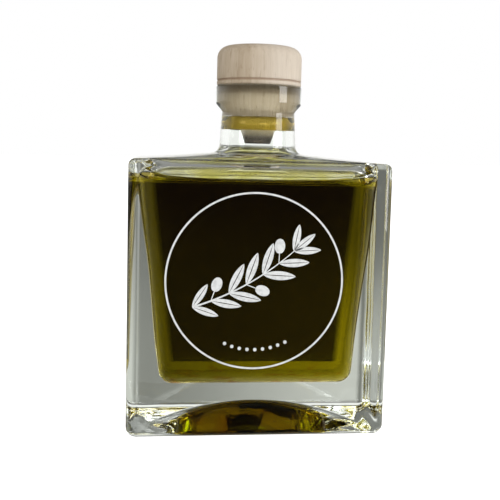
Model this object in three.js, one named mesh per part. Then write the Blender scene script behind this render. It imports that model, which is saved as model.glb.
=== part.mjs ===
// A rectangular bottle of olive oil: a heavy clear glass body with a short neck, filled nearly to the
// shoulder and shut by a stopper with a turned wooden head. Millimetres, +Z up, the front faces -Y,
// and the origin is the middle of the foot.
import * as THREE from "three";

// Glass, outside
const BODY_WIDTH = 86;
const BODY_DEPTH = 46;
const BODY_CORNER = 3.6; // radius of the four upright edges
const FOOT_ROUND = 3.2; // radius of the edge round the foot
const SHOULDER_Z = 91; // height of the shoulder at its rim
const SHOULDER_ROUND = 2.2; // radius of the edge round the shoulder
const SHOULDER_RISE = 2.2; // from the rim to the foot of the neck
const NECK_FILLET = 2.8;
const NECK_FOOT_RADIUS = 13.2;
const NECK_TOP_RADIUS = 12.5;
const LIP_RADIUS = 14.7;
const LIP_FOOT_Z = 110; // lower edge of the lip's upright face
const LIP_TOP_Z = 116.2;
const LIP_ROUND = 0.8;
const PUNT_HALF_WIDTH = 36.5; // the hollow under the foot
const PUNT_HALF_DEPTH = 18.5;
const PUNT_HEIGHT = 8;
const PUNT_RIDGE = 0.75; // 0 for a round dome, 1 for a roof with its ridge along the width

// Glass, inside
const BORE_RADIUS = 9.5;
const BORE_FOOT_Z = 95.6; // where the bore starts to flare into the cavity
const FLARE_RADIUS = 14.2;
const CEILING_Z = 90.6; // inside of the shoulder at the flare
const CEILING_RIM_Z = 89.2; // and at its rim
const CAVITY_TOP_Z = 86; // where the upright wall ends
const CAVITY_FLOOR_Z = 16.4;
const CAVITY_TOP_HALF = { width: 40, depth: 19 };
const CAVITY_FLOOR_HALF = { width: 32.1, depth: 14.6 };
const CAVITY_TOP_CORNER = 9; // radius of the upright inner edges, which widens upwards
const CAVITY_FLOOR_CORNER = 5;
const FLOOR_ROUND = 4.5;

// Contents and stopper
const GAP = 0.3; // clearance between pieces that touch
const OIL_LEVEL_Z = 83.4;
const HEAD_RADIUS = 14.5;
const HEAD_HEIGHT = 14.1;
const HEAD_ROUND = 4; // rounded top edge
const HEAD_DOME = 0.8; // rise of the top from that edge to the middle
const HEAD_FOOT_CHAMFER = 0.5;
const GROOVE_Z = 1.6; // height above the head's foot
const GROOVE_HALF_WIDTH = 0.35;
const GROOVE_DEPTH = 0.3;
const PLUG_CONE_TOP_Z = 105.8;
const PLUG_CONE_FOOT_Z = 100.8;
const PLUG_TIP_Z = 96.5;
const TIP_TOP_RADIUS = 5.9;
const TIP_FOOT_RADIUS = 4.6;
const TIP_ROUND = 0.6;
const RING_TOP_Z = 104.4; // oil held between the plug's cone and the bore
const RING_FOOT_Z = 101.1;
const RING_SAG = 0.7; // how far its free surface is drawn up in the middle

// Facets
const CORNER_STEPS = 6;
const SIDE_STEPS = 5;
const RING_POINTS = 4 * (CORNER_STEPS + SIDE_STEPS);
const ARC_STEPS = 4;
const TURNED_SEGMENTS = 44;

const lerp = THREE.MathUtils.lerp;
const steps = (count) => Array.from({ length: count }, (_, i) => (i + 1) / count);

// A level outline of the glass or oil. With round = 0 it is a rectangle with rounded corners, with
// round = 1 an ellipse, and between the two a blend of both. It runs anticlockwise seen from above.
function outline({ width, depth, corner = 0, round = 0, z }) {
  const points = [];
  const rectangle = [];
  for (let quarter = 0; quarter < 4; quarter++) {
    const start = (quarter * Math.PI) / 2;
    const signX = quarter === 0 || quarter === 3 ? 1 : -1;
    const signY = quarter < 2 ? 1 : -1;
    for (let i = 0; i <= CORNER_STEPS; i++) {
      const angle = start + (i / CORNER_STEPS) * (Math.PI / 2);
      const x = signX * (width - corner) + corner * Math.cos(angle);
      const y = signY * (depth - corner) + corner * Math.sin(angle);
      rectangle.push(new THREE.Vector2(x, y));
    }
  }
  const perCorner = CORNER_STEPS + 1;
  rectangle.forEach((point, i) => {
    points.push(point.clone());
    if (i % perCorner === CORNER_STEPS) {
      const next = rectangle[(i + 1) % rectangle.length];
      for (let s = 1; s < SIDE_STEPS; s++) points.push(point.clone().lerp(next, s / SIDE_STEPS));
    }
  });
  return points.map((point, i) => {
    const angle = Math.PI / 4 + ((i - CORNER_STEPS / 2) * 2 * Math.PI) / RING_POINTS;
    const onEllipse = new THREE.Vector2(width * Math.cos(angle), depth * Math.sin(angle));
    const flat = point.lerp(onEllipse, round);
    return new THREE.Vector3(flat.x, flat.y, z);
  });
}

const circle = (radius, z) => ({ width: radius, depth: radius, round: 1, z });

// A closed skin through level outlines, with a point on the axis at either end.
function loft(firstZ, outlines, lastZ) {
  const vertices = [new THREE.Vector3(0, 0, firstZ)];
  outlines.forEach((level) => vertices.push(...outline(level)));
  vertices.push(new THREE.Vector3(0, 0, lastZ));
  const last = vertices.length - 1;
  const at = (row, i) => 1 + row * RING_POINTS + (i % RING_POINTS);
  const index = [];
  for (let i = 0; i < RING_POINTS; i++) {
    index.push(0, at(0, i + 1), at(0, i));
    index.push(last, at(outlines.length - 1, i), at(outlines.length - 1, i + 1));
    for (let row = 0; row + 1 < outlines.length; row++) {
      index.push(at(row, i), at(row, i + 1), at(row + 1, i + 1));
      index.push(at(row, i), at(row + 1, i + 1), at(row + 1, i));
    }
  }
  return new THREE.BufferGeometry().setFromPoints(vertices).setIndex(index);
}

// A solid of revolution about Z from [radius, z] points.
function turned(profile) {
  const points = profile.map(([radius, z]) => new THREE.Vector2(radius, z));
  return new THREE.LatheGeometry(points, TURNED_SEGMENTS).rotateX(Math.PI / 2);
}

// The cavity's outline at a height, drawn in by an inset. Its walls lean in towards the floor.
function cavityWall(z, inset = 0) {
  const t = (z - CAVITY_FLOOR_Z) / (CAVITY_TOP_Z - CAVITY_FLOOR_Z);
  return {
    width: lerp(CAVITY_FLOOR_HALF.width, CAVITY_TOP_HALF.width, t) - inset,
    depth: lerp(CAVITY_FLOOR_HALF.depth, CAVITY_TOP_HALF.depth, t) - inset,
    corner: lerp(CAVITY_FLOOR_CORNER, CAVITY_TOP_CORNER, t) - inset,
    z,
  };
}

// Outlines from the cavity's floor up to the foot of its walls.
function cavityFloor(inset = 0) {
  return [0, ...steps(ARC_STEPS)].map((t) => {
    const angle = (t * Math.PI) / 2;
    const wall = cavityWall(CAVITY_FLOOR_Z + FLOOR_ROUND, inset + FLOOR_ROUND * (1 - Math.sin(angle)));
    const lift = (FLOOR_ROUND - inset) * (1 - Math.cos(angle));
    return { ...wall, z: CAVITY_FLOOR_Z + inset + lift };
  });
}

function bodyOutline(inset, z) {
  return {
    width: BODY_WIDTH / 2 - inset,
    depth: BODY_DEPTH / 2 - inset,
    corner: BODY_CORNER - inset,
    z,
  };
}

// Underside and outside of the glass, from the top of the punt to the foot of the neck.
function outsideOfBody() {
  const punt = steps(2 * ARC_STEPS).map((t) => ({
    width: PUNT_HALF_WIDTH * t,
    depth: PUNT_HALF_DEPTH * lerp(t, t * t, PUNT_RIDGE),
    round: 1,
    z: PUNT_HEIGHT * (1 - t * t),
  }));
  const foot = [0, ...steps(ARC_STEPS)].map((t) => {
    const angle = (t * Math.PI) / 2;
    return bodyOutline(FOOT_ROUND * (1 - Math.sin(angle)), FOOT_ROUND * (1 - Math.cos(angle)));
  });
  const rim = [0, ...steps(ARC_STEPS)].map((t) => {
    const angle = (t * Math.PI) / 2;
    const drop = SHOULDER_ROUND * (1 - Math.sin(angle));
    return bodyOutline(SHOULDER_ROUND * (1 - Math.cos(angle)), SHOULDER_Z - drop);
  });
  const top = bodyOutline(SHOULDER_ROUND, SHOULDER_Z);
  const neckFoot = NECK_FOOT_RADIUS + NECK_FILLET;
  const shoulder = steps(ARC_STEPS).map((t) => ({
    width: lerp(top.width, neckFoot, t),
    depth: lerp(top.depth, neckFoot, t),
    corner: lerp(top.corner, neckFoot, t),
    round: t,
    z: SHOULDER_Z + SHOULDER_RISE * t,
  }));
  return [...punt, ...foot, ...rim, ...shoulder];
}

// Outside of the neck and lip, and over the lip into the bore.
function neckAndLip() {
  const filletTopZ = SHOULDER_Z + SHOULDER_RISE + NECK_FILLET;
  const fillet = steps(ARC_STEPS).map((t) => {
    const angle = (t * Math.PI) / 2;
    const radius = NECK_FOOT_RADIUS + NECK_FILLET * (1 - Math.sin(angle));
    return circle(radius, filletTopZ - NECK_FILLET * Math.cos(angle));
  });
  return [
    ...fillet,
    circle(NECK_TOP_RADIUS, LIP_FOOT_Z - (LIP_RADIUS - NECK_TOP_RADIUS)),
    circle(LIP_RADIUS, LIP_FOOT_Z),
    circle(LIP_RADIUS, LIP_TOP_Z - LIP_ROUND),
    circle(LIP_RADIUS - LIP_ROUND, LIP_TOP_Z),
    circle(BORE_RADIUS + LIP_ROUND, LIP_TOP_Z),
    circle(BORE_RADIUS, LIP_TOP_Z - LIP_ROUND),
    circle(BORE_RADIUS, BORE_FOOT_Z),
  ];
}

// From the foot of the bore out under the shoulder and down the cavity to its floor.
function insideOfBody() {
  const flare = steps(ARC_STEPS).map((t) => {
    const angle = (t * Math.PI) / 2;
    const radius = BORE_RADIUS + (FLARE_RADIUS - BORE_RADIUS) * (1 - Math.cos(angle));
    return circle(radius, BORE_FOOT_Z - (BORE_FOOT_Z - CEILING_Z) * Math.sin(angle));
  });
  const wallTop = cavityWall(CAVITY_TOP_Z);
  const rimRound = CEILING_RIM_Z - CAVITY_TOP_Z;
  const rim = {
    width: wallTop.width - rimRound,
    depth: wallTop.depth - rimRound / 2,
    corner: wallTop.corner - rimRound / 2,
  };
  const ceiling = steps(ARC_STEPS).map((t) => ({
    width: lerp(FLARE_RADIUS, rim.width, t),
    depth: lerp(FLARE_RADIUS, rim.depth, t),
    corner: lerp(FLARE_RADIUS, rim.corner, t),
    round: 1 - t,
    z: lerp(CEILING_Z, CEILING_RIM_Z, t),
  }));
  const rimEdge = steps(ARC_STEPS).map((t) => {
    const angle = (t * Math.PI) / 2;
    return {
      width: lerp(rim.width, wallTop.width, Math.sin(angle)),
      depth: lerp(rim.depth, wallTop.depth, Math.sin(angle)),
      corner: lerp(rim.corner, wallTop.corner, Math.sin(angle)),
      z: CAVITY_TOP_Z + rimRound * Math.cos(angle),
    };
  });
  return [...flare, ...ceiling, ...rimEdge, ...cavityFloor().reverse()];
}

function bottleGlass() {
  const skin = [...outsideOfBody(), ...neckAndLip(), ...insideOfBody()];
  return loft(PUNT_HEIGHT, skin, CAVITY_FLOOR_Z);
}

function oliveOil() {
  return loft(CAVITY_FLOOR_Z + GAP, [...cavityFloor(GAP), cavityWall(OIL_LEVEL_Z, GAP)], OIL_LEVEL_Z);
}

const plugRadius = BORE_RADIUS - GAP;

// Radius of the plug's cone at a height.
function coneRadius(z) {
  const t = (z - PLUG_CONE_FOOT_Z) / (PLUG_CONE_TOP_Z - PLUG_CONE_FOOT_Z);
  return lerp(TIP_TOP_RADIUS, plugRadius, t);
}

function stopperPlug() {
  return turned([
    [0, PLUG_TIP_Z],
    [TIP_FOOT_RADIUS - TIP_ROUND, PLUG_TIP_Z],
    [TIP_FOOT_RADIUS, PLUG_TIP_Z + TIP_ROUND],
    [TIP_TOP_RADIUS, PLUG_CONE_FOOT_Z],
    [plugRadius, PLUG_CONE_TOP_Z],
    [plugRadius, LIP_TOP_Z],
    [0, LIP_TOP_Z],
  ]);
}

// The ring of oil hangs in the wedge between the plug's cone and the bore, with a hollow free surface.
function neckOilRing() {
  const outer = BORE_RADIUS - GAP;
  const inner = coneRadius(RING_FOOT_Z) + GAP;
  const surface = [0, ...steps(ARC_STEPS)].map((t) => {
    const sag = RING_SAG * Math.sin(t * Math.PI);
    return [lerp(inner, outer, t), RING_FOOT_Z + sag];
  });
  const ring = [...surface, [outer, RING_TOP_Z], [coneRadius(RING_TOP_Z) + GAP, RING_TOP_Z]];
  return turned([...ring, ring[0]]);
}

function stopperHead() {
  const foot = LIP_TOP_Z;
  const top = foot + HEAD_HEIGHT;
  const edgeZ = top - HEAD_DOME - HEAD_ROUND;
  const edge = [0, ...steps(ARC_STEPS)].map((t) => {
    const angle = (t * Math.PI) / 2;
    return [HEAD_RADIUS - HEAD_ROUND * (1 - Math.cos(angle)), edgeZ + HEAD_ROUND * Math.sin(angle)];
  });
  return turned([
    [0, foot],
    [HEAD_RADIUS - HEAD_FOOT_CHAMFER, foot],
    [HEAD_RADIUS, foot + HEAD_FOOT_CHAMFER],
    [HEAD_RADIUS, foot + GROOVE_Z - GROOVE_HALF_WIDTH],
    [HEAD_RADIUS - GROOVE_DEPTH, foot + GROOVE_Z],
    [HEAD_RADIUS, foot + GROOVE_Z + GROOVE_HALF_WIDTH],
    ...edge,
    [0, top],
  ]);
}

function piece(name, geometry, look) {
  const mesh = new THREE.Mesh(geometry, new THREE.MeshStandardMaterial({ metalness: 0, ...look }));
  mesh.name = name;
  return mesh;
}

const clearGlass = { color: 0xe4ebe6, roughness: 0.03, transparent: true, opacity: 0.35 };
const bottle = new THREE.Group();
bottle.add(
  piece("bottle_glass", bottleGlass(), clearGlass),
  piece("olive_oil", oliveOil(), { color: 0x4d4408, roughness: 0.05 }),
  piece("neck_oil_ring", neckOilRing(), { color: 0xa8902a, roughness: 0.05 }),
  piece("stopper_plug", stopperPlug(), { color: 0x8d7c5f, roughness: 0.7 }),
  piece("stopper_head", stopperHead(), { color: 0xc4a882, roughness: 0.65 }),
);

export default bottle;
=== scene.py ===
"""Looks of the bottle of olive oil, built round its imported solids: clear glass with a thick foot, dark oil
with a meniscus, a stopper with a turned beech head, and a white print on the front."""

import math

import bpy
import numpy as np
from mathutils import Matrix, Vector


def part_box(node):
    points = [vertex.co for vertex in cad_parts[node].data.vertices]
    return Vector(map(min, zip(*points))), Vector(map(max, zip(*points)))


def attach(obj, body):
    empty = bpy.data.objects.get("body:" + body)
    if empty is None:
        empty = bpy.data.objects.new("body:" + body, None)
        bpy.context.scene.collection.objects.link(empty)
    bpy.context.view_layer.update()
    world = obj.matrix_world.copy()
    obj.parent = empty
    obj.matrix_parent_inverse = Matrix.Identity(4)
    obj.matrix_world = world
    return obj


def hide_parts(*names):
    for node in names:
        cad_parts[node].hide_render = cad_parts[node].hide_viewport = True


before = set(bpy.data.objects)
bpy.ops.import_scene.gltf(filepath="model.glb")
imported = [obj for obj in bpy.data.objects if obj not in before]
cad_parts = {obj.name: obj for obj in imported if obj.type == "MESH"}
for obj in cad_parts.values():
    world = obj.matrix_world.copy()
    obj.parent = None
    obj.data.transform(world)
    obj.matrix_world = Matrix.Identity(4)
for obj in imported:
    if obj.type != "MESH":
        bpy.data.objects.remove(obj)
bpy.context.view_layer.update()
MM = 0.001

# Outside of the glass, in millimetres. The main sizes come from the frame.
_, glass_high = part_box("bottle_glass")
HALF_WIDTH = glass_high.x / MM
HALF_DEPTH = glass_high.y / MM
LIP_TOP_Z = glass_high.z / MM
BODY_CORNER = 3.6
FOOT_ROUND = 3.2
SHOULDER_Z = 91.0
SHOULDER_ROUND = 2.2
SHOULDER_RISE = 2.2
NECK_FILLET = 2.8
NECK_FOOT_RADIUS = 13.2
NECK_TOP_RADIUS = 12.5
LIP_RADIUS = 14.7
LIP_FOOT_Z = 110.0
LIP_ROUND = 0.8
LIP_FOOT_ROUND = 0.5
CHAMFER_EASE_DROP = 0.6  # the neck ends this far under the lip's chamfer
CHAMFER_EASE_OUT = 0.3  # and its curve into the chamfer passes this far out
CHAMFER_EASE_RISE = 0.1  # and this far up
PUNT_HALF_WIDTH = 36.5
PUNT_HALF_DEPTH = 18.5
PUNT_HEIGHT = 8.0
PUNT_RIDGE = 0.75  # 0 for a round dome, 1 for a roof with its ridge along the width

# Inside of the glass
BORE_RADIUS = 9.5
BORE_FOOT_Z = 95.6
BORE_FOOT_RADIUS = 10.1
FLARE_RADIUS = 14.2
CEILING_Z = 90.6
CEILING_RIM_Z = 89.2
CAVITY_TOP_Z = 84.6
CAVITY_FLOOR_Z = 16.4
CAVITY_TOP_HALF = (39.6, 19.0)
CAVITY_FLOOR_HALF = (32.1, 14.6)
CAVITY_TOP_CORNER = 9.0
CAVITY_FLOOR_CORNER = 5.0
FLOOR_ROUND = 4.5
RIM_DRAW = (1.0, 0.5, 0.5)  # share of the rim's rounding by which width, depth and corner shrink
SMALLEST_CORNER = 0.4
CAVITY_LEAN = -0.4  # sideways drift of the cavity at its top
WALL_SWAY = 0.22  # unevenness of the blown inner wall
SWAY_FADE_LOW = 12.0  # the unevenness grows over this height above the floor
SWAY_FADE_HIGH = 8.0  # and fades over this height under the rim
SWAY_FADE_MIDDLE = 6.0  # and, across the depth, within this distance of the middle plane
LEAN_FADE = 4.0  # the drift fades over this height under the rim
# Height of each wave, its run along X and Z, and its start
SWAY_WAVES = ((1.0, 21.0, 9.0, 0.0), (0.6, -13.0, 4.3, 1.7), (0.5, 7.0, 17.0, 0.0))
SIDE_WAVE = (9.0, 8.0)  # run of the narrow sides' wave along Y and Z

# Oil and stopper
_, oil_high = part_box("olive_oil")
ring_low, ring_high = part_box("neck_oil_ring")
plug_low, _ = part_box("stopper_plug")
head_low, head_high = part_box("stopper_head")
OIL_LEVEL_Z = oil_high.z / MM
WALL_REACH = 0.15  # how far the oil and the plug reach into the glass, so that no air shows between them
MENISCUS_RISE = 1.1
MENISCUS_CORNER_RISE = 2.2
MENISCUS_WIDTH = 1.5
MENISCUS_CORNER_SPREAD = 0.7  # reach of the higher corners, in lengths of the corner
PLUG_TIP_Z = plug_low.z / MM
PLUG_CONE_TOP_Z = 105.8
PLUG_CONE_FOOT_Z = 100.8
TIP_TOP_RADIUS = 5.9
TIP_FOOT_RADIUS = 4.6
TIP_ROUND = 0.6
RING_CREEP = 1.2  # how far the ring of oil creeps up between the plug and the glass
RING_TOP_Z = ring_high.z / MM + RING_CREEP
RING_FOOT_Z = ring_low.z / MM
RING_SAG = 0.7
HEAD_FOOT_Z = head_low.z / MM
HEAD_TOP_Z = head_high.z / MM
HEAD_RADIUS = head_high.x / MM
HEAD_ROUND = 4.0
HEAD_DOME = 0.8
HEAD_CHAMFER = 0.5
GROOVE_Z = 1.6
GROOVE_HALF_WIDTH = 0.35
GROOVE_DEPTH = 0.3
HEAD_FOOT_RING = 6.0
HEAD_SIDE_MARGIN = 1.0  # of the head's straight side, to the groove and to the rounding

# Print on the front: a ring round an olive sprig, and a row of dots
PRINT_CENTRE = (-2.0, 52.2)
PRINT_RADIUS = 28.7
PRINT_LINE = 0.6
PRINT_THICKNESS = 0.08
PRINT_PROUD = 0.03  # how far the middle of its thickness stands in front of the glass
SPRIG_START = (-20.0, -8.5)
SPRIG_BEND = (-2.0, -3.0)
SPRIG_END = (12.5, 10.0)
STEM_LINE = 0.6
LEAF_PAIRS = 7
LEAF_LENGTH = 11.0
LEAF_WIDTH = 2.7
LEAF_GAP = 0.14  # half of the bare midrib
LEAF_ANGLE = 38.0
LEAF_SPREAD = 7.0  # how far the angles vary
OLIVE_LENGTH = 4.9
OLIVE_WIDTH = 3.4
OLIVE_STALK = 3.2
STALK_OVERLAP = 0.6
STALK_FULLNESS = 0.2
LEAF_SIZE_LOW = 0.58  # size of the smallest leaf
LEAF_SIZE_GAIN = 0.42
LEAF_SIZE_START = 0.3  # where on its arch the sprig starts
LEAF_SIZE_ARCH = math.pi / 1.6
OLIVE_EVERY = 2  # an olive at every second pair of leaves
OLIVE_SIDE_EVERY = 4  # and on the upper side at every fourth
DOT_SIZE = 1.15
DOT_COUNT = 9
DOT_ARC_RADIUS = 22.5
DOT_ARC_SWEEP = 52.0
PRINT_SEED = 5
PRINT_INPUTS = {
    "Ring Radius": "NodeSocketFloat",
    "Line Width": "NodeSocketFloat",
    "Thickness": "NodeSocketFloat",
    "Leaf Length": "NodeSocketFloat",
    "Leaf Width": "NodeSocketFloat",
    "Leaf Pairs": "NodeSocketInt",
    "Seed": "NodeSocketInt",
}
LEAF_FULLNESS = 0.85  # how quickly a leaf swells from its ends
ROUND_FULLNESS = 0.5  # the same for an ellipse
OLIVE_ANGLE = 50.0
BLADE_POINTS = 21
STEM_POINTS = 48
RING_PRINT_POINTS = 256

# Camera, fitted to the photograph's outline
CAMERA_PLACE = (-27.0, -273.0, 96.74)
CAMERA_YAW = 6.56
CAMERA_PITCH = -5.41
CAMERA_ROLL = 1.56
FOCAL_PIXELS = 786.1
CAMERA_CENTRE = (268.0, 218.0)  # where the lens axis meets the picture, in pixels
PHOTO_PIXELS = 500
SENSOR = 36.0

# Looks
GLASS_TINT = (0.97, 0.985, 0.97)
GLASS_IOR = 1.5
GLASS_ABSORBED = (0.72, 0.84, 0.74)
GLASS_DENSITY = 3.0
OIL_TINT = (0.97, 0.79, 0.32)
OIL_IOR = 1.47
OIL_ABSORBED = (0.825, 0.81, 0.0)
OIL_DENSITY = 200.0
LEES_COLOUR = (0.8, 0.42, 0.08)
LEES_FADE = (0.5, 2.5)  # the lees fade between these heights above the floor
# Painted reflection: olive tint and mirrored colour of the glass above the oil, where the oil shows
# mirrored; partly a thin oil film
FILM_AND_REFLECTION_TINT = (0.5, 0.45, 0.06)
FILM_AND_REFLECTION_MIRRORED = (0.62, 0.56, 0.14, 1)
REFLECTION_REACH = (20.0, 40.0)  # the painted reflection fades between these distances from the middle
UNMIRRORED = (0, 0, 0, 1)
BEECH = {"pale": (0.53, 0.44, 0.33), "dark": (0.36, 0.275, 0.18), "fleck": (0.25, 0.16, 0.09)}
SHANK = {"pale": (0.56, 0.47, 0.33), "dark": (0.42, 0.33, 0.21), "fleck": (0.24, 0.16, 0.08)}
FIBRE_SHARE = 0.22  # of the dark colour, as the next two
RING_SHARE = 0.23
PATCH_SHARE = 0.55
FLECK_SHARE = 0.3
# Painted light: the head is paler towards its right side, where the light falls
LIT_SIDE_COLOUR = (0.68, 0.62, 0.55)
LIT_SIDE_REACH = (-7.0, 6.0)  # from the shaded tan side to the painted-light pale side
LIT_SIDE_SHARE = 0.42
# Painted shade: darker in and next to the head's groove
GROOVE_SHADE_COLOUR = (0.2, 0.1, 0.045)
GROOVE_SHADE_REACH = (0.1, 0.7)  # from the middle of the groove
# Painted shade on the shank under the head
UNDER_HEAD_SHADE_COLOUR = (0.3, 0.22, 0.13)
UNDER_HEAD_SHADE_DROP = (3.4, 2.4)  # painted shade: the shank darkens between these depths under the lip, under the head
# Painted light: the cone is paled, as it lies in shade inside the neck
CONE_LIGHT_COLOUR = (0.86, 0.74, 0.48)
CONE_LIGHT_FADE = 1.2
TIP_DARK_COLOUR = (0.045, 0.028, 0.012)
TIP_DARK_FROM = 1.5  # the tip is darkest up to here
TIP_DARK_TO = 1.0  # and not darkened from here above the cone's foot
ENAMEL_WHITE = (0.7, 0.71, 0.7)
ENAMEL_GREY = (0.55, 0.56, 0.55)

# What the glass shows and mirrors of the studio, by direction
TABLE_LEFT = (0.46, 0.47, 0.435)
TABLE_MIDDLE = (0.23, 0.234, 0.21)
TABLE_RIGHT = (0.64, 0.65, 0.6)
HORIZON_SIDES = (0.17, 0.172, 0.16)
HORIZON_MIDDLE = (0.38, 0.38, 0.365)
BACK_PANEL = (1.0, 1.0, 0.98)
UPPER_SIDES = (0.2, 0.204, 0.186)
UPPER_MIDDLE = (0.08, 0.081, 0.073)
OVERHEAD = (0.3, 0.3, 0.285)
FRONT = (0.9, 0.9, 0.87)
FRONT_OVERHEAD = (2.7, 2.7, 2.6)
MIRRORED_FRONT = (0.03, 0.03, 0.03)
MIRRORED_OVERHEAD = (0.8, 0.8, 0.8)
FILL_LIGHT = (0.4, 0.4, 0.4)
WHITE = (1, 1, 1)
SOFTBOX_SIZE = (0.25, 0.45)
FRONT_SOFTBOX_SIZE = (0.4, 0.4)
SOFTBOX_AIM = (0, 0, 0.06)
FLOOR_HALF = 4.0
FLOOR_GLOW = (0.12, 1.0)  # towards other rays, and towards the camera

# Painted shade: a dark glowing card behind the bottle, seen only through the oil and the glass
CARD_TOP_Z = 82.2
CARD_FOOT_Z = 16.8
CARD_TOP_X = (-38.6, 39.6)
CARD_FOOT_X = (-30.6, 33.6)
CARD_GAP = 0.5
CARD_FEATHER = 3.6  # width of its soft sides
CARD_SHADE_LOW_LEFT = (0.025, 0.022, 0.018)
CARD_SHADE_LOW_RIGHT = (0.038, 0.034, 0.028)
CARD_SHADE_HIGH = (0.01, 0.005, 0.004)
CARD_SIDEWAYS = (-30.0, 30.0)  # its colours change between these places
CARD_DARKER_FROM_Z = 45.0

# Fineness of the meshes
CORNER_STEPS = 14
SIDE_STEPS = 22
RING_POINTS = 4 * (CORNER_STEPS + SIDE_STEPS)
ARC_STEPS = 12
SMALL_ARC_STEPS = 6
CHAMFER_STEPS = 5
OUTER_WALL_LEVELS = 14
WALL_LEVELS = 40
BORE_LEVELS = 5
WIDENING_BORE_LEVELS = 9
MENISCUS_LEVELS = 9
CLIMB_LEVELS = 6
SAG_POINTS = 13
GROOVE_POINTS = 9
HEAD_SIDE_POINTS = 4
HEAD_DOME_POINTS = 8
TURNED_SEGMENTS = 144
FREE_SURFACE_INSETS = (0.2, 0.45, 0.75, 1.1, 1.5, 2.0, 2.6, 3.3, 4.2, 5.5, 7.5, 10.0, 12.5)  # from the wall


def lerp(a, b, t):
    return a + (b - a) * t


def quarter_turn(steps=ARC_STEPS):
    """Angles from 0 to 90 degrees."""
    return np.linspace(0, math.pi / 2, steps + 1)


# Meshes

def mesh_object(name, points_mm, faces, materials, smooth=True):
    mesh = bpy.data.meshes.new(name)
    mesh.from_pydata([tuple(p) for p in np.asarray(points_mm) * MM], [], faces)
    mesh.validate()
    for material in materials:
        mesh.materials.append(material)
    mesh.polygons.foreach_set("use_smooth", [smooth] * len(mesh.polygons))
    piece = bpy.data.objects.new(name, mesh)
    bpy.context.scene.collection.objects.link(piece)
    return piece


def outline(width, depth, corner, round_share, z):
    """A level outline: a rectangle with rounded corners, an ellipse, or a blend of the two."""
    arcs = []
    for turn, (side_x, side_y) in enumerate(((1, 1), (-1, 1), (-1, -1), (1, -1))):
        angle = quarter_turn(CORNER_STEPS) + turn * math.pi / 2
        x = side_x * (width - corner) + corner * np.cos(angle)
        y = side_y * (depth - corner) + corner * np.sin(angle)
        arcs.append(np.column_stack((x, y)))
    between = np.arange(1, SIDE_STEPS)[:, None] / SIDE_STEPS
    stretches = []
    for arc, following in zip(arcs, arcs[1:] + arcs[:1]):
        stretches += [arc, lerp(arc[-1], following[0], between)]
    rectangle = np.vstack(stretches)
    angle = math.pi / 4 + (np.arange(RING_POINTS) - CORNER_STEPS / 2) * 2 * math.pi / RING_POINTS
    ellipse = np.column_stack((width * np.cos(angle), depth * np.sin(angle)))
    flat = lerp(rectangle, ellipse, round_share)
    return np.column_stack((flat, np.broadcast_to(z, RING_POINTS)))


def circle(radius, z):
    return outline(radius, radius, 0.0, 1.0, z)


def loft(name, first_z, outlines, last_z, materials):
    """A closed skin through level outlines, with a point on the axis at either end."""
    count = len(outlines)
    points = np.vstack([[(0, 0, first_z)], *outlines, [(0, 0, last_z)]])
    start = 1 + np.arange(count) * RING_POINTS
    here = np.arange(RING_POINTS)
    after = (here + 1) % RING_POINTS
    faces = [(0, int(start[0] + b), int(start[0] + a)) for a, b in zip(here, after)]
    for low, high in zip(start[:-1], start[1:]):
        faces += [(int(low + a), int(low + b), int(high + b), int(high + a)) for a, b in zip(here, after)]
    last = len(points) - 1
    faces += [(last, int(start[-1] + a), int(start[-1] + b)) for a, b in zip(here, after)]
    return mesh_object(name, points, faces, materials)


def turned(name, profile, materials, closed=False):
    """A solid of revolution about Z from (radius, z) points, from axis to axis or closed on itself."""
    profile = np.asarray(profile, float)
    n = TURNED_SEGMENTS
    angles = np.linspace(0, 2 * math.pi, n, endpoint=False)
    rows = profile if closed else profile[1:-1]
    points = [(r * math.cos(a), r * math.sin(a), z) for r, z in rows for a in angles]
    pairs = list(zip(range(len(rows)), range(1, len(rows))))
    if closed:
        pairs.append((len(rows) - 1, 0))
    faces = []
    for low, high in pairs:
        for a in range(n):
            b = (a + 1) % n
            faces.append((low * n + a, low * n + b, high * n + b, high * n + a))
    if not closed:
        foot, top = len(points), len(points) + 1
        points += [(0, 0, profile[0][1]), (0, 0, profile[-1][1])]
        final = (len(rows) - 1) * n
        faces += [(foot, (a + 1) % n, a) for a in range(n)]
        faces += [(top, final + a, final + (a + 1) % n) for a in range(n)]
    return mesh_object(name, points, faces, materials)


# Shape of the cavity, shared by the glass and the oil

def cavity_size(z):
    """Half width, half depth and corner radius of the cavity at a height."""
    t = (z - CAVITY_FLOOR_Z) / (CAVITY_TOP_Z - CAVITY_FLOOR_Z)
    floor = np.array([*CAVITY_FLOOR_HALF, CAVITY_FLOOR_CORNER])
    return lerp(floor, np.array([*CAVITY_TOP_HALF, CAVITY_TOP_CORNER]), t)


def cavity_rim():
    """The same at the rim of the ceiling."""
    rim_round = CEILING_RIM_Z - CAVITY_TOP_Z
    return cavity_size(CAVITY_TOP_Z) - rim_round * np.array(RIM_DRAW)


def cavity_outline(z, inset=0.0):
    """Outline of the cavity between its floor and the rim of its ceiling, drawn in by an inset."""
    if z > CAVITY_TOP_Z:
        climbed = (z - CAVITY_TOP_Z) / (CEILING_RIM_Z - CAVITY_TOP_Z)
        drawn = 1 - math.sqrt(max(0.0, 1 - climbed ** 2))
        size = lerp(cavity_size(CAVITY_TOP_Z), cavity_rim(), drawn)
    elif z < CAVITY_FLOOR_Z + FLOOR_ROUND:
        drop = (CAVITY_FLOOR_Z + FLOOR_ROUND - z) / FLOOR_ROUND
        drawn = 1 - math.sqrt(max(0.0, 1 - drop ** 2))
        size = cavity_size(CAVITY_FLOOR_Z + FLOOR_ROUND) - drawn * FLOOR_ROUND
    else:
        size = cavity_size(z)
    width, depth, corner = size - inset
    return sway(outline(width, depth, max(corner, SMALLEST_CORNER), 0.0, z))


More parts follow.
